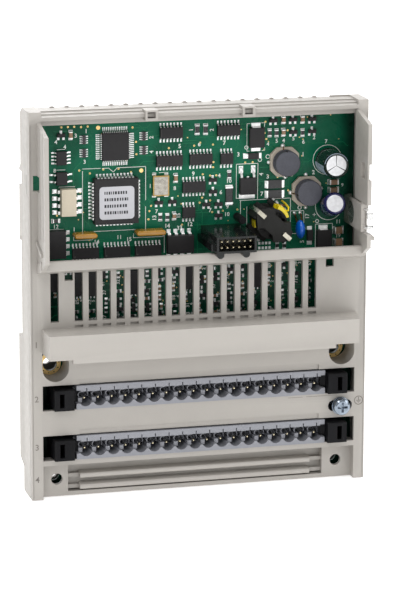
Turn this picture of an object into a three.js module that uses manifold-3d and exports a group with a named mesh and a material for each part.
// A flat rail-mounted input/output base: a two-shell case with an open bay for a plug-on
// communication head, one circuit board, two pluggable terminal headers and a rail latch.
//
// Case frame, in millimetres: X runs left to right, Z runs bottom to top, and Y = 0 is the front
// plate, with +Y into the wall. The finished group is shifted so that its origin is the middle of
// the face that rests on the mounting rail.

import * as THREE from "three";
import { mergeVertices } from "three/addons/utils/BufferGeometryUtils.js";
import Module from "manifold-3d";

const wasm = await Module();
wasm.setup();

// ---------------------------------------------------------------- driving dimensions

const WIDTH = 125;
const HEIGHT = 141.5;
const DEPTH = 21.3; // front plate to the rearmost face
const WALL = 1.5;
const PLATE = 1.8; // front plate thickness
const SPLIT = 11.8; // depth at which the two shells meet

const BOARD_FRONT = 11.5;
const BOARD_BACK = 13.1;

const RAIL_SEAT = 15.2; // depth of the face that rests on the rail
const RAIL_GROOVE = 15; // floor of the shallow grooves behind the lip and the latch
const RAIL_LOW = 57.3;
const RAIL_HIGH = 94.5;
const RAIL_MIDDLE = (RAIL_LOW + RAIL_HIGH) / 2;

const BAY = { left: 2.8, wall: 1.5, sill: 86.9, bottom: 89.25, top: 136.2, plateFront: -13.6, barFront: -7.4 };
const LEDGE = { width: 1.2, front: -6.2 };

const ROW_BAR = { left: 4.25, right: 121.1, low: 54.4, lowMiddle: 53.0, high: 63.3, front: -12.2 };
const OPENING = { left: 4.2, right: 120.96, height: 9.25, bottoms: [33.0, 14.4] };
const HEADER = { left: 16.5, poles: 18, pitch: 5.08, margin: 0.87, height: 8.8, front: -0.4 };
const LEVER = {
  width: 7.3, gap: 3.7, height: 7.6, middle: 4.15, front: -3,
  nose: 1.9, pivotDepth: 9, pinRadius: 0.7, shift: 0.35,
};
const VENT = { count: 18, first: 17.65, pitch: 5.105, width: 3.05, low: 65.5, high: 83.6 };
const PANEL_HOLES = [
  [9.25, 47.6],
  [115.75, 47.6],
  [9.9, 6.4],
  [115.1, 6.4],
];
const EARTH = { x: 115.6, z: 28.1, slotWidth: 9.2, slotHeight: 4.3, shaft: 1.95 };
const LATCH = { left: 50, right: 75, low: 5.5, high: 57, nose: 59.6, bed: 17.6, back: 21.2 };
const SPRING = { radius: 1.1, wire: 0.25, turns: 7, low: 29.3, high: 42.9 };

// ---------------------------------------------------------------- materials

const PAINT = {
  beige: [0xcfcbc4, 0.55, 0],
  grey: [0x8d92a3, 0.45, 0],
  black: [0x17181a, 0.5, 0],
  board: [0x0d5c40, 0.4, 0],
  steel: [0xc4c8cc, 0.3, 1],
  chip: [0x26262a, 0.6, 0],
  ferrite: [0x4a4c54, 0.55, 0],
  pale: [0xc9bda6, 0.5, 0],
  cream: [0xe4d8bf, 0.5, 0],
  yellow: [0xe3d21f, 0.5, 0],
  amber: [0xc88a12, 0.35, 0],
  blue: [0x1268b4, 0.3, 0],
  navy: [0x1c1d4a, 0.35, 0],
  slate: [0x46585f, 0.35, 0],
  white: [0xeeeeee, 0.6, 0],
  clear: [0xd8efc8, 0.2, 0],
};

function paint(name) {
  const [color, roughness, metalness] = PAINT[name];
  return new THREE.MeshStandardMaterial({ color, roughness, metalness });
}

// ---------------------------------------------------------------- solid helpers

// Signed volume of a triangle mesh: negative when its faces point inwards.
function signedVolume(positions, triangles) {
  const corners = [new THREE.Vector3(), new THREE.Vector3(), new THREE.Vector3()];
  let volume = 0;
  for (let i = 0; i < triangles.length; i += 3) {
    corners.forEach((corner, k) => corner.fromArray(positions, 3 * triangles[i + k]));
    volume += corners[0].dot(corners[1].clone().cross(corners[2])) / 6;
  }
  return volume;
}

// A closed geometry as a solid that can be joined and cut.
function solid(geometry) {
  geometry.deleteAttribute("normal");
  geometry.deleteAttribute("uv");
  const welded = mergeVertices(geometry, 1e-4);
  const positions = new Float32Array(welded.attributes.position.array);
  const source = welded.index.array;
  const triangles = [];
  for (let i = 0; i < source.length; i += 3) {
    const [a, b, c] = [source[i], source[i + 1], source[i + 2]];
    if (a !== b && b !== c && c !== a) triangles.push(a, b, c);
  }
  if (signedVolume(positions, triangles) < 0) triangles.reverse();
  const mesh = { numProp: 3, vertProperties: positions, triVerts: new Uint32Array(triangles) };
  return new wasm.Manifold(new wasm.Mesh(mesh));
}

function geometryOf(body) {
  const mesh = body.getMesh();
  const geometry = new THREE.BufferGeometry();
  geometry.setAttribute("position", new THREE.BufferAttribute(mesh.vertProperties, 3));
  geometry.setIndex(new THREE.BufferAttribute(new Uint32Array(mesh.triVerts), 1));
  return geometry;
}

const join = (first, ...rest) => rest.reduce((sum, next) => sum.add(next), first);
const cut = (first, ...rest) => rest.reduce((sum, next) => sum.subtract(next), first);

function outline(points) {
  if (points instanceof THREE.Shape) return points;
  return new THREE.Shape(points.map(([a, b]) => new THREE.Vector2(a, b)));
}

// Extrudes an outline from `start` over `length`; `u`, `v` and `w` are the axes of the outline's
// first and second coordinate and of the extrusion.
function prism(points, length, u, v, w, start) {
  const options = { depth: length, bevelEnabled: false, curveSegments: 6 };
  const geometry = new THREE.ExtrudeGeometry(outline(points), options);
  geometry.applyMatrix4(new THREE.Matrix4().makeBasis(u, v, w).setPosition(start));
  return solid(geometry);
}

const X = new THREE.Vector3(1, 0, 0);
const Y = new THREE.Vector3(0, 1, 0);
const Z = new THREE.Vector3(0, 0, 1);
const BACK = new THREE.Vector3(0, -1, 0);

// Outline in (Y, Z), (X, Z) or (X, Y), extruded between two places on the remaining axis.
const alongX = (points, x0, x1) => prism(points, x1 - x0, Y, Z, X, new THREE.Vector3(x0, 0, 0));
const alongY = (points, y0, y1) => prism(points, y1 - y0, X, Z, BACK, new THREE.Vector3(0, y1, 0));
const alongZ = (points, z0, z1) => prism(points, z1 - z0, X, Y, Z, new THREE.Vector3(0, 0, z0));

function block(x0, x1, y0, y1, z0, z1) {
  const geometry = new THREE.BoxGeometry(x1 - x0, y1 - y0, z1 - z0);
  geometry.translate((x0 + x1) / 2, (y0 + y1) / 2, (z0 + z1) / 2);
  return solid(geometry);
}

// A body of revolution about the Y axis, from a profile of (radius, y) pairs.
function turned(profile, sides = 24) {
  return solid(new THREE.LatheGeometry(profile.map(([r, y]) => new THREE.Vector2(r, y)), sides));
}

const rod = (x, z, radius, y0, y1, sides = 20) =>
  turned([[0, y0], [radius, y0], [radius, y1], [0, y1]], sides).translate([x, 0, z]);

const pinZ = (x, y, radius, z0, z1, sides = 12) =>
  rod(0, 0, radius, 0, z1 - z0, sides).rotate([90, 0, 0]).translate([x, y, z0]);

const mirrored = (body) => body.mirror([1, 0, 0]).translate([WIDTH, 0, 0]);

// A ribbon of constant thickness that follows a polyline, as a closed outline.
function ribbon(path, thickness) {
  const normals = path.map((point, i) => {
    const before = path[Math.max(i - 1, 0)];
    const after = path[Math.min(i + 1, path.length - 1)];
    const run = [after[0] - before[0], after[1] - before[1]];
    const length = Math.hypot(...run);
    return [-run[1] / length, run[0] / length];
  });
  const offset = path.map(([a, b], i) => {
    const [alongA, alongB] = normals[i];
    return [a + alongA * thickness, b + alongB * thickness];
  });
  return [...path, ...offset.reverse()];
}

// ---------------------------------------------------------------- rear housing

function rearHousing() {
  const outer = [
    [SPLIT, 0], [14.6, 0], [14.6, 9], [DEPTH, 11.2], [DEPTH, RAIL_LOW], [RAIL_GROOVE, RAIL_LOW],
    [RAIL_GROOVE, 60], [RAIL_SEAT, 60.2], [RAIL_SEAT, 91.6], [RAIL_GROOVE, 91.8],
    [RAIL_GROOVE, RAIL_HIGH], [16.4, RAIL_HIGH], [16.4, 93.2], [18.1, 92.4], [18.1, 118.9],
    [15.6, 120.5], [15.6, 139.3], [12.8, 141], [SPLIT, 141],
  ];
  const inner = [
    [SPLIT - 1, WALL], [13.2, WALL], [13.2, 10], [19.8, 12.3], [19.8, RAIL_LOW - WALL],
    [13.7, RAIL_LOW - WALL], [13.7, 96], [16.6, 96], [16.6, 117.8], [14.1, 119.4],
    [14.1, 138.5], [12.4, 139.5], [SPLIT - 1, 139.5],
  ];
  const shell = cut(alongX(outer, 0, WIDTH), alongX(inner, WALL, WIDTH - WALL));
  const bed = alongX([[15.9, 11], [DEPTH, 11.2], [DEPTH, RAIL_LOW], [15.9, RAIL_LOW]], 46.5, 78.5);
  const corners = [[0, 4.6], [WIDTH - 11, WIDTH]].map(([x0, x1]) =>
    alongX([[SPLIT, 140.8], [12.9, 140.8], [12.4, HEIGHT], [SPLIT, HEIGHT]], x0, x1));
  const sideWindows = [[-1, WALL + 0.1], [WIDTH - WALL - 0.1, WIDTH + 1]].map(([x0, x1]) =>
    block(x0, x1, 13.6, 19, 113, 118.3));
  return cut(
    join(shell, bed, ...corners, ...ventRibs(), latchStop()),
    ...latchBed(),
    ...ventSlots(),
    ...PANEL_HOLES.map(([x, z]) => rod(x, z, 2.1, 12, 23)),
    ...sideWindows,
  );
}

const RIB = { count: 19, first: 11, pitch: 5.4, z: 140.35, radius: 1.15 };

// Rounded ribs across the rear top edge, with an air slot between each two.
function ventRibs() {
  return Array.from({ length: RIB.count }, (_, i) => {
    const shape = new THREE.Shape();
    shape.absarc(RIB.first + i * RIB.pitch, RIB.z, RIB.radius, 0, Math.PI, false);
    return alongY(shape, SPLIT, 13.1);
  });
}

function ventSlots() {
  return Array.from({ length: RIB.count - 1 }, (_, i) => {
    const middle = RIB.first + (i + 0.5) * RIB.pitch;
    return block(middle - 1.4, middle + 1.4, 13.4, 17, 134, 143);
  });
}

// The undercut slot that the rail latch slides in, and the post that its spring stands on.
function latchBed() {
  const gap = 0.3;
  const wide = block(LATCH.left - gap, LATCH.right + gap, LATCH.bed, 19.6, 8, 58);
  const narrow = block(LATCH.left + 2 - gap, LATCH.right - 2 + gap, 19.5, 23, 8, 58);
  const nosePocket = block(LATCH.left + 2 - gap, LATCH.right - 2 + gap, 16.3, 19.6, 52.8, 58);
  return [cut(join(wide, narrow, nosePocket), latchStop())];
}

function latchStop() {
  return block(60.5, 64.5, 17, 20.6, 27, 29);
}

function railLatch() {
  const front = LATCH.bed + 0.2;
  const shoulder = LATCH.low + 5.5;
  const [left, right] = [LATCH.left + 2, LATCH.right - 2];
  const flange = block(LATCH.left, LATCH.right, front, 19.3, shoulder, LATCH.high);
  const spine = block(left, right, front, LATCH.back, shoulder, LATCH.high);
  const tab = block(left, right, 18.6, LATCH.back, LATCH.low, shoulder + 0.5);
  const nose = alongX(
    [[16.6, LATCH.high + 0.6], [17.8, LATCH.high + 0.6], [17.8, LATCH.high - 1],
      [LATCH.back, LATCH.high - 1], [LATCH.back, LATCH.high + 1], [18.2, LATCH.nose], [16.6, LATCH.nose]],
    left, right,
  );
  const springWindow = block(60, 65, 17, 22, 22, 43.2);
  const driverSlot = block(58.5, 66.5, 18, 22, 8, 10);
  return cut(join(flange, spine, tab, nose), springWindow, driverSlot);
}

class Helix extends THREE.Curve {
  getPoint(t, target = new THREE.Vector3()) {
    const angle = t * SPRING.turns * 2 * Math.PI;
    const x = 62.5 + SPRING.radius * Math.cos(angle);
    const y = 19.4 + SPRING.radius * Math.sin(angle);
    const span = SPRING.high - SPRING.low - 2 * SPRING.wire;
    return target.set(x, y, SPRING.low + SPRING.wire + t * span);
  }
}

function latchSpring() {
  const section = new THREE.Shape();
  section.absarc(0, 0, SPRING.wire, 0, 2 * Math.PI, false);
  const options = { steps: SPRING.turns * 12, extrudePath: new Helix(), curveSegments: 3 };
  return solid(new THREE.ExtrudeGeometry(section, options));
}

// ---------------------------------------------------------------- front cover

function frontCover() {
  const skirt = cut(
    block(0, WIDTH, 0, SPLIT - 0.05, 0, 141),
    block(WALL - 0.1, WIDTH - WALL + 0.1, PLATE, SPLIT + 1, WALL, 139.6),
  );
  const body = cut(
    join(skirt, ...cornerBlocks(), rowBar(), ...wellWalls()),
    ...bayCuts(),
    rowBarHollow(),
    ...plateCuts(),
  );
  const fittings = [topBeam(), bayBar(), ...bayWalls(), ...latchFrames(), ...bottomRow()];
  return cut(join(body, ...fittings), ...lateCuts());
}

function cornerBlocks() {
  return [[0, 4.6], [WIDTH - 3.8, WIDTH]].map(([x0, x1]) => block(x0, x1, 0, SPLIT - 0.05, 139, HEIGHT));
}

// The top beam steps back from the front plate to the rear in two sloping ledges.
function topBeam() {
  const profile = [
    [SPLIT - 0.05, 141], [5.4, 141], [5.4, 140.65], [2.7, 140.3], [2.7, 139.95],
    [0, 139.6], [0, 138.3], [2.8, 138.3], [2.8, BAY.top], [4, BAY.top],
    [4, 139], [SPLIT - 0.05, 139.4],
  ];
  return alongX(profile, 4, WIDTH - 3.5);
}

// Clears the front plate behind the bay, and the plate above the beam's ledges.
function bayCuts() {
  const inside = BAY.left + BAY.wall;
  return [
    block(inside, WIDTH - inside, -1, 10, BAY.sill, 138.6),
    block(4.6, WIDTH - 3.8, -1, 10, 138, 143),
  ];
}

// The bar under the bay, whose underside slopes back to the plate.
function bayBar() {
  const profile = [
    [PLATE, 83.4], [0, 83.4], [BAY.barFront, 85.85],
    [BAY.barFront, 88.9], [-7, BAY.bottom], [-5.7, BAY.bottom], [-5.2, 88.6], [PLATE, BAY.sill],
  ];
  return alongX(profile, 2.5, WIDTH - 2.5);
}

// Guide walls at both sides of the bay, the left one with a stiffening ledge inside and two
// shallow grooves outside.
function bayWalls() {
  const wall = [
    [PLATE, 138], [0, 137.7], [BAY.plateFront, 134.6],
    [BAY.plateFront, 89.6], [-11.9, 88.9], [-7, 86], [PLATE, 85],
  ];
  const leftWall = alongX(wall, BAY.left, BAY.left + BAY.wall);
  const inside = BAY.left + BAY.wall;
  const ledge = block(inside - 0.1, inside + LEDGE.width, LEDGE.front, PLATE, BAY.bottom - 1, 132.2);
  const ribSection = [[PLATE, 96.5], [-9, 92.5], [-9, 91.3], [PLATE, 95.3]];
  const rib = alongX(ribSection, BAY.left - 0.7, BAY.left + 0.1);
  const grooves = [-10.5, -5.8].map((y) => block(0, BAY.left + 0.3, y, y + 0.5, 97, 140));
  const left = cut(join(leftWall, ledge, rib), ...grooves);
  const outerNotch = block(121.2, WIDTH, BAY.plateFront - 1, -10.9, 114.2, 120.1);
  const innerWindow = block(119, 121.75, -10.5, -5.4, 114.2, 120);
  const lug = alongY([[122, 94.2], [123.4, 94], [124.9, 92.7], [124.9, 91.6], [122, 91.6]], -9.5, -6.5);
  const right = cut(join(mirrored(leftWall), lug), outerNotch, innerWindow);
  return [left, right];
}

// Two small catch frames that stand on the top beam.
function latchFrames() {
  return [41.9, 77.6].map((x) => cut(
    block(x, x + 4.6, -1.4, 4.4, 137.2, 140.9),
    block(x + 0.8, x + 3.7, -3, 3, 138, 140.2),
    block(x + 0.8, x + 3.7, 2, 12, 138.4, 139.6),
  ));
}

// The raised cover of the first row, open behind.
function rowBar() {
  const { left, right, low, high, front } = ROW_BAR;
  const plan = [[left, PLATE], [left, front], [right - 2.3, front], [right, 0], [right, PLATE]];
  const middle = block(12.84, 110.1, front, PLATE, ROW_BAR.lowMiddle, low + 1);
  return join(alongZ(plan, low, high), middle);
}

function rowBarHollow() {
  const { left, right, low, high, front } = ROW_BAR;
  return block(left + 1.4, right - 3.8, front + 1.4, PLATE + 1, low + 1.4, high - 1.4);
}

// Rounded wells at both ends of the first row, down to the panel-screw holes in the board.
function wellOutline(x, radius, floor) {
  const shape = new THREE.Shape();
  shape.absarc(x, floor + radius, radius, Math.PI, 2 * Math.PI, false);
  shape.lineTo(x + radius, ROW_BAR.low);
  shape.lineTo(x - radius, ROW_BAR.low);
  shape.closePath();
  return shape;
}

const WELL = { radius: 4.85, floor: 43.6, x: 9.05 };

function wellWalls() {
  const tube = alongY(wellOutline(WELL.x, WELL.radius + 1, WELL.floor - 1), 1, 11.1);
  return [tube, mirrored(tube)];
}

function plateCuts() {
  const well = alongY(wellOutline(WELL.x, WELL.radius, WELL.floor), -1, 12);
  const half = VENT.width / 2;
  const vents = Array.from({ length: VENT.count }, (_, i) => VENT.first + i * VENT.pitch);
  const tops = OPENING.bottoms.map((z) => z + OPENING.height);
  return [
    well,
    mirrored(well),
    ...[8.85, ...vents].map((x) => block(x - half, x + half, -1, 3, VENT.low, VENT.high)),
    ...vents.map((x) => block(x - half, x + half, -0.6, 0.9, ROW_BAR.high, ROW_BAR.high + 0.9)),
    block(12.55, 15.55, -1, 3, 80.6, 84),
    block(109.55, 112.55, -1, 3, 80.6, 84),
    ...tops.map((z) => block(OPENING.left, OPENING.right, -1, 3, z - OPENING.height, z)),
    ...tops.map((z) => block(17.7, 107.4, -1, 0.5, z - 0.1, z + 1.9)),
    earthSlot(),
    block(OPENING.left, OPENING.right, -1, PAD.depth, -1, 12.5),
  ];
}

function earthSlot() {
  const half = (EARTH.slotWidth - EARTH.slotHeight) / 2;
  const shape = new THREE.Shape();
  shape.absarc(EARTH.x + half, EARTH.z, EARTH.slotHeight / 2, -Math.PI / 2, Math.PI / 2, false);
  shape.absarc(EARTH.x - half, EARTH.z, EARTH.slotHeight / 2, Math.PI / 2, 1.5 * Math.PI, false);
  return alongY(shape, -1, 3);
}

const PAD = { depth: 3.7, thickness: 1.8 };

// The bottom row: two screw pads and between them a deeper tray with two label rails.
function bottomRow() {
  const back = PAD.depth + PAD.thickness;
  const pads = [[OPENING.left - 0.1, 13.6], [109.9, OPENING.right + 0.1]].map(([x0, x1]) =>
    block(x0, x1, PAD.depth, back, 0, 13));
  const webs = [[3, OPENING.left], [OPENING.right, 122.2]].map(([x0, x1]) =>
    block(x0, x1, PLATE - 0.1, back, 0, 13));
  const tray = block(13, 111, 7, 8.6, 0, 13);
  const sides = [[12.6, 14], [109.9, 111.3]].map(([x0, x1]) => block(x0, x1, PAD.depth, 8.6, 0, 13));
  const lip = block(3, 122, 0.5, 8.6, 12.4, 13.4);
  const rails = [[6.1, 8.4], [1.9, 4.2]].map(([low, high]) => {
    const section = [
      [7.2, low], [3.4, low + 0.2], [3, low + 0.6],
      [3, high - 0.6], [3.4, high - 0.2], [7.2, high],
    ];
    return join(alongX(section, 18.4, 105), block(13.8, 110.1, 5.2, 7.2, low + 0.3, high - 0.6));
  });
  return [...pads, ...webs, tray, ...sides, lip, ...rails];
}

function lateCuts() {
  return [
    ...PANEL_HOLES.slice(2).map(([x, z]) => rod(x, z, 2.1, 3, 6)),
    block(119, 122.7, -15, 10, 94.4, 105.3),
    block(1.4, 6, -4.2, 3, 113.4, 119),
    block(-1, 0.22, 2.3, 2.7, -1, 142),
    block(-1, 0.22, 0.9, 1.2, -1, 142),
    ...[0.45, WIDTH - 0.75].map((x) => block(x, x + 0.3, -1, 0.2, -1, 137)),
    block(-1, 0.8, 4.6, 5.2, 111.5, 118.5),
  ];
}

// ---------------------------------------------------------------- contact clip and its carrier

function clipCarrier() {
  const plate = block(119.7, 120.7, -9.4, BOARD_FRONT - 0.1, 94.8, 104.9);
  const disc = solid(new THREE.CylinderGeometry(4.2, 4.2, 0.4, 24));
  const dimple = disc.rotate([0, 0, 90]).translate([119.7, 3.4, 99.8]);
  const foot = block(119.7, 122.4, BOARD_FRONT - 1.3, BOARD_FRONT - 0.1, 94.8, 104.9);
  const frontTab = block(120.6, 122.4, -9.4, -7.9, 103.5, 104.9);
  return join(cut(plate, dimple), foot, frontTab);
}

function groundClip() {
  const path = [
    [-7.8, 103.2], [-11.4, 103.2], [-12.5, 102.8], [-12.3, 102.2], [-11.7, 102], [-12.9, 101.5],
    [-13.5, 100], [-13.6, 99], [-13.3, 98], [-12.7, 97.6], [-11.7, 97.4], [-12.4, 97.1],
    [-12.6, 96.5], [-11.6, 96], [-7.8, 96],
  ];
  return alongX(ribbon(path, 0.35), 120.95, 123.2);
}

// ---------------------------------------------------------------- circuit board and headers

function circuitBoard() {
  const board = block(1.9, WIDTH - 1.9, BOARD_FRONT, BOARD_BACK, 2.4, 138.4);
  return cut(
    board,
    ...PANEL_HOLES.map(([x, z]) => rod(x, z, 2.6, 11, 14)),
    rod(EARTH.x, EARTH.z, 2.6, 11, 14),
  );
}

// The pocket behind one pole: round below, flat above.
function poleOutline(x, bottom) {
  const radius = 2.32;
  const shape = new THREE.Shape();
  shape.absarc(x, bottom + 3.35, radius, Math.PI, 2 * Math.PI, false);
  shape.lineTo(x + radius, bottom + 6.6);
  shape.lineTo(x - radius, bottom + 6.6);
  shape.closePath();
  return shape;
}

const headerRight = HEADER.left + HEADER.poles * HEADER.pitch + 2 * HEADER.margin;
const poleX = (i) => HEADER.left + HEADER.margin + (i + 0.5) * HEADER.pitch;

function terminalHeader(bottom) {
  const top = bottom + HEADER.height;
  const poles = Array.from({ length: HEADER.poles }, (_, i) => i);
  const body = block(HEADER.left, headerRight, HEADER.front, 11.4, bottom, top);
  const pockets = poles.map((i) => alongY(poleOutline(poleX(i), bottom), HEADER.front - 1, 8.6));
  const last = poleX(HEADER.poles - 1);
  const trough = block(poleX(0), last, HEADER.front - 1, 8.5, bottom + 2.4, bottom + 6.6);
  const ticks = poles.map((i) => poleX(i) + 0.15).map((x) =>
    block(x, x + 0.4, HEADER.front - 1, 1.5, bottom + 6.5, bottom + 7.8));
  const ends = [[HEADER.left - 1, HEADER.left + 1.7], [headerRight - 1.7, headerRight + 1]];
  const windows = ends.map(([x0, x1]) => block(x0, x1, -1, 6, bottom + 2.2, bottom + 7));
  return join(cut(body, ...pockets, trough, ...ticks, ...windows), ...leverStand(bottom));
}

// Foot and lugs beyond each end of a header that carry a release lever.
function leverStand(bottom) {
  const middle = bottom + LEVER.middle;
  const half = LEVER.height / 2;
  const x = OPENING.left + LEVER.gap + LEVER.width / 2;
  const foot = block(x - 3, HEADER.left + 0.1, 10.8, 11.4, middle - half - 0.9, middle + half + 0.9);
  const lugs = [-1, 1].map((side) => {
    const inner = middle + side * (half + 0.3);
    const outer = middle + side * (half + 0.9);
    return block(x - 1.8, x + 1.8, 7.2, 11, Math.min(inner, outer), Math.max(inner, outer));
  });
  const bore = pinZ(x, LEVER.pivotDepth, LEVER.pinRadius + 0.15, middle - half - 2, middle + half + 2);
  const left = cut(join(foot, ...lugs), bore);
  return [left, mirrored(left).translate([LEVER.shift, 0, 0])];
}

function releaseLever(bottom, onRight) {
  const middle = bottom + LEVER.middle;
  const low = middle - LEVER.height / 2;
  const high = middle + LEVER.height / 2;
  const left = OPENING.left + LEVER.gap;
  const right = left + LEVER.width;
  const tip = right + LEVER.nose;
  const body = block(left, right, LEVER.front, LEVER.pivotDepth + 0.8, low, high);
  const nosePlan = [[right - 0.1, 0.8], [tip, 2], [tip, 3.2], [right - 0.1, 5]];
  const nose = alongZ(nosePlan, low + 2.2, high - 1.2);
  const slot = block(left + 2, left + 3.6, LEVER.front - 1, 5, low + 1.2, high - 1.4);
  const pin = pinZ((left + right) / 2, LEVER.pivotDepth, LEVER.pinRadius, low - 0.9, high + 0.9);
  const lever = join(cut(join(body, nose), slot), pin);
  return onRight ? mirrored(lever).translate([LEVER.shift, 0, 0]) : lever;
}

// ---------------------------------------------------------------- earth terminal

function earthScrew() {
  const profile = [
    [0, -3.4], [2.2, -3.4], [3, -2.9], [3.1, -2.4], [3.1, -1.05],
    [EARTH.shaft, -1.05], [EARTH.shaft, 9.6], [1.4, 10.2], [0, 10.2],
  ];
  const cross = [block(-1.9, 1.9, -4, -2, -0.4, 0.4), block(-0.4, 0.4, -4, -2, -1.9, 1.9)];
  return cut(turned(profile, 20), ...cross);
}

function earthWasher() {
  return cut(rod(0, 0, 3.35, -0.95, -0.05, 24), rod(0, 0, EARTH.shaft + 0.15, -2, 1, 20));
}

function earthPlate() {
  const plate = block(-5.2, 4.4, 3.4, 4.9, -2.9, 2.9);
  const legs = [-5.2, 3.4].map((x) => block(x, x + 1, 4.8, BOARD_FRONT - 0.1, -2.9, 2.9));
  return cut(join(plate, ...legs), rod(0, 0, EARTH.shaft + 0.15, 3, 6));
}

// ---------------------------------------------------------------- components on the board

// A moulded package: straight lower half and a slightly drafted upper half, off the board by `lift`.
function mouldedBody(width, height, thickness, lift = 0.15) {
  const draft = 0.18;
  const rise = BOARD_FRONT - lift - thickness;
  const middle = BOARD_FRONT - lift - thickness / 2;
  const base = BOARD_FRONT - lift;
  const section = [
    [-width / 2 + draft, base], [width / 2 - draft, base], [width / 2, middle],
    [width / 2 - draft, rise], [-width / 2 + draft, rise], [-width / 2, middle],
  ];
  return alongZ(section, -height / 2, height / 2);
}

const CHIPS = [
  ["gate_array", 33.7, 126.3, 10, 10, 1.5, "chip"],
  ["microcontroller", 33.4, 106.9, 16.4, 16.4, 4.1, "chip"],
  ["logic_chip_1", 54.3, 130.4, 8.65, 3.9, 1.5, "chip"],
  ["logic_chip_2", 75.6, 130.4, 8.65, 3.9, 1.5, "chip"],
  ["logic_chip_3", 65.3, 120.3, 8.65, 3.9, 1.5, "chip"],
  ["logic_chip_4", 62.7, 110.3, 8.65, 3.9, 1.5, "chip"],
  ["driver_chip_1", 22.5, 87.9, 9.9, 3.9, 1.8, "chip"],
  ["driver_chip_2", 34.1, 87.8, 9.9, 3.9, 1.8, "chip"],
  ["driver_chip_3", 45.6, 87.7, 9.9, 3.9, 1.8, "chip"],
  ["driver_chip_4", 53.6, 120.2, 9.9, 3.9, 1.5, "chip"],
  ["amplifier_chip_1", 14.0, 122.9, 3.9, 4.9, 1.5, "chip"],
  ["amplifier_chip_2", 74.9, 120.1, 4.9, 3.9, 1.5, "chip"],
  ["amplifier_chip_3", 60.8, 101.0, 4.9, 3.9, 1.5, "chip"],
  ["optocoupler_1", 13.9, 115.6, 4.2, 4.6, 2.0, "chip"],
  ["optocoupler_2", 16.1, 107.0, 5.8, 9.8, 3.4, "cream"],
  ["optocoupler_3", 11.9, 91.9, 6.4, 10, 3.4, "chip"],
  ["optocoupler_4", 57.3, 89.8, 10, 6.4, 3.4, "chip"],
  ["suppressor_diode_1", 86.0, 127.4, 5.8, 7.2, 2.3, "black"],
  ["suppressor_diode_2", 111.8, 88.5, 5.8, 7.2, 2.3, "black"],
  ["power_transistor", 82.8, 109.8, 6.4, 6.1, 2.3, "black"],
  ["shunt_resistor_1", 76.0, 106.5, 2.7, 6.4, 0.55, "black"],
  ["shunt_resistor_2", 93.2, 109.8, 6.4, 3.1, 0.55, "black"],
  ["shunt_resistor_3", 93.2, 106.1, 6.4, 3.1, 0.55, "black"],
];

function oscillator() {
  return block(-3, 3, BOARD_FRONT - 1.5, BOARD_FRONT - 0.1, -3.75, 3.75);
}

function chipLabel() {
  const face = BOARD_FRONT - 0.15 - 4.1;
  return block(-6.4, 6.4, face - 0.12, face - 0.02, -6.1, 5.8);
}

// A single-in-line network: a flat rounded slab that stands upright off the board.
function networkSlab(length) {
  const radius = 0.95;
  const shape = new THREE.Shape();
  shape.absarc(length / 2 - radius, 0, radius, -Math.PI / 2, Math.PI / 2, false);
  shape.absarc(-length / 2 + radius, 0, radius, Math.PI / 2, 1.5 * Math.PI, false);
  return alongY(shape, BOARD_FRONT - 5.6, BOARD_FRONT - 0.6);
}

function chokeBase() {
  const [half, corner] = [5.4, 2.9];
  const octagon = [
    [half, -corner], [half, corner], [corner, half], [-corner, half],
    [-half, corner], [-half, -corner], [-corner, -half], [corner, -half],
  ];
  return alongY(octagon, BOARD_FRONT - 1.6, BOARD_FRONT - 0.1);
}

function chokeCore() {
  const profile = [
    [0, -6], [4.4, -6], [4.7, -5.7], [4.7, -4.5],
    [3.3, -4.3], [3.3, -2.9], [4.7, -2.7], [4.7, -1.75], [0, -1.75],
  ];
  return turned(profile, 28).translate([0, BOARD_FRONT, 0]);
}

// An electrolytic can, standing along -Y from its base at y = 0, with its rolled groove.
function capacitor(radius, height) {
  const profile = [
    [0, 0], [radius - 0.5, 0], [radius, -0.5], [radius, -1.6], [radius - 0.45, -2.1], [radius, -2.6],
    [radius, -height + 0.7], [radius - 0.6, -height], [radius - 1, -height + 0.25], [0, -height + 0.25],
  ];
  return turned(profile, 28);
}

const CORE = { plate: 2.4, top: 12, half: 7.6, end: 1.5, leg: 2.8, shoulder: 4.8, waist: 3.2 };

// A ferrite core pair: two waisted plates joined by a round post and two end legs.
function transformerCore() {
  const { plate, top, half, end, leg, shoulder, waist } = CORE;
  const right = [
    [2.2, -waist], [4, -shoulder], [6.2, -leg], [half, -end],
    [half, end], [6.2, leg], [4, shoulder], [2.2, waist],
  ];
  const face = [...right, ...right.map(([u, v]) => [-u, -v])];
  const front = alongY(face, BOARD_FRONT - top, BOARD_FRONT - top + plate);
  const back = alongY(face, BOARD_FRONT - 1.2 - plate, BOARD_FRONT - 1.2);
  const legSpan = [BOARD_FRONT - top + 1, BOARD_FRONT - 2];
  const legs = [-half, half - 2].map((x) => block(x, x + 2, ...legSpan, -leg, leg));
  return join(front, back, ...legs, rod(0, 0, 3, ...legSpan));
}

function transformerBobbin() {
  const span = [BOARD_FRONT - CORE.top + CORE.plate + 0.3, BOARD_FRONT - 1.2 - CORE.plate - 0.3];
  return cut(rod(0, 0, 5, ...span, 28), rod(0, 0, 3.3, -20, 20));
}

function transformerClip(side) {
  const reach = CORE.half + 0.35;
  const front = BOARD_FRONT - CORE.top - 0.35;
  const path = [[reach - 3.3, front], [reach, front], [reach, BOARD_FRONT - 0.3]];
  return alongZ(ribbon(path.map(([u, y]) => [u * side, y]), -0.3 * side), -0.8, 0.8);
}

function discCapacitor() {
  const profile = Array.from({ length: 9 }, (_, i) => {
    const angle = (i / 8 - 0.5) * Math.PI;
    return [1.75 * Math.cos(angle), 3.5 * Math.sin(angle)];
  });
  profile[0][0] = 0;
  profile[8][0] = 0;
  return turned(profile, 16).rotate([90, 0, 0]).scale([1, 1.6, 1]);
}

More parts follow.
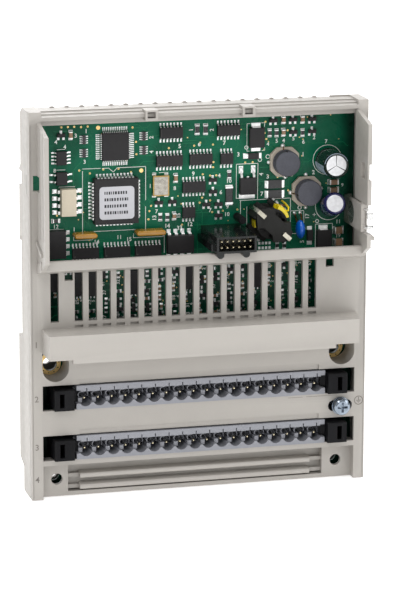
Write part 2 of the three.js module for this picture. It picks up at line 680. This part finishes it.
function adapterConnector() {
  const [front, back] = [-11.5, BOARD_FRONT - 0.1];
  const shroud = cut(
    block(65.5, 80.2, front, back, 89.9, 95.9),
    block(66.3, 79.4, front - 1, front + 7.5, 90.7, 95.15),
  );
  const wings = [[64.3, 65.6], [80.1, 81.2]].map(([x0, x1]) => block(x0, x1, -8.5, back, 90.2, 92.9));
  const pegs = [66.9, 76.4].map((x) => rod(x, 89.4, 1.35, front, -7.6, 16));
  return join(shroud, ...wings, ...pegs);
}

function statusLight() {
  const lens = turned([[0, -4], [0.9, -3.7], [1.2, -3], [1.2, 0], [0, 0]], 14);
  return lens.translate([0, BOARD_FRONT - 0.1, 0]);
}

// ---------------------------------------------------------------- assembly

const caseFrame = new THREE.Group();
caseFrame.position.set(-WIDTH / 2, -RAIL_SEAT, -RAIL_MIDDLE);

function add(name, body, colour, position = [0, 0, 0], rotation = [0, 0, 0]) {
  const mesh = new THREE.Mesh(geometryOf(body), paint(colour));
  mesh.name = name;
  mesh.position.set(...position);
  mesh.rotation.set(...rotation);
  caseFrame.add(mesh);
}

add("rear_housing", rearHousing(), "beige");
add("front_cover", frontCover(), "beige");
add("rail_latch", railLatch(), "black");
add("latch_spring", latchSpring(), "steel");
add("circuit_board", circuitBoard(), "board");

for (const [i, row] of ["upper", "lower"].entries()) {
  const bottom = OPENING.bottoms[i];
  add(`terminal_header_${row}`, terminalHeader(bottom), "grey");
  add(`release_lever_${row}_left`, releaseLever(bottom, false), "black");
  add(`release_lever_${row}_right`, releaseLever(bottom, true), "black");
}

const earthPlace = [EARTH.x, 0, EARTH.z];
add("earth_screw", earthScrew(), "steel", earthPlace);
add("earth_washer", earthWasher(), "steel", earthPlace);
add("earth_plate", earthPlate(), "steel", earthPlace);
add("clip_carrier", clipCarrier(), "beige");
add("ground_clip", groundClip(), "steel");
add("adapter_connector", adapterConnector(), "black");
add("guide_pin", rod(0, 0, 1.4, 3, BOARD_FRONT - 0.1, 16), "black", [79, 0, 98.6]);

for (const [name, x, z, width, height, thickness, colour] of CHIPS) {
  add(name, mouldedBody(width, height, thickness), colour, [x, 0, z]);
}

add("microcontroller_label", chipLabel(), "white", [33.4, 0, 106.6]);
add("oscillator", oscillator(), "steel", [50.4, 0, 111.3]);
add("resistor_network_1", networkSlab(8.4), "amber", [21.9, 0, 94.9]);
add("resistor_network_2", networkSlab(10.9), "amber", [45.9, 0, 94.9]);

const CHOKES = [[96.6, 118], [105, 106.8]];
for (const [i, [x, z]] of CHOKES.entries()) {
  add(`choke_base_${i + 1}`, chokeBase(), "pale", [x, 0, z]);
  add(`choke_core_${i + 1}`, chokeCore(), "ferrite", [x, 0, z]);
}

add("capacitor_1", capacitor(4.8, 11.5), "slate", [113.1, BOARD_FRONT - 0.3, 117.7]);
add("capacitor_2", capacitor(4.1, 11), "navy", [113.9, BOARD_FRONT - 1.8, 101.2], [-0.26, 0, -0.127]);

const transformerTurn = [0, 0.74, 0];
const transformerPlace = [89.8, 0, 96.95];
add("transformer_core", transformerCore(), "black", transformerPlace, transformerTurn);
add("transformer_bobbin", transformerBobbin(), "yellow", transformerPlace, transformerTurn);
add("transformer_clip_1", transformerClip(-1), "steel", transformerPlace, transformerTurn);
add("transformer_clip_2", transformerClip(1), "steel", transformerPlace, transformerTurn);
add("disc_capacitor", discCapacitor(), "blue", [101.9, BOARD_FRONT - 4.2, 93.4]);
add("status_light_left", statusLight(), "clear", [14.05, 0, 82.2]);
add("status_light_right", statusLight(), "clear", [111.05, 0, 82.2]);

export default caseFrame;
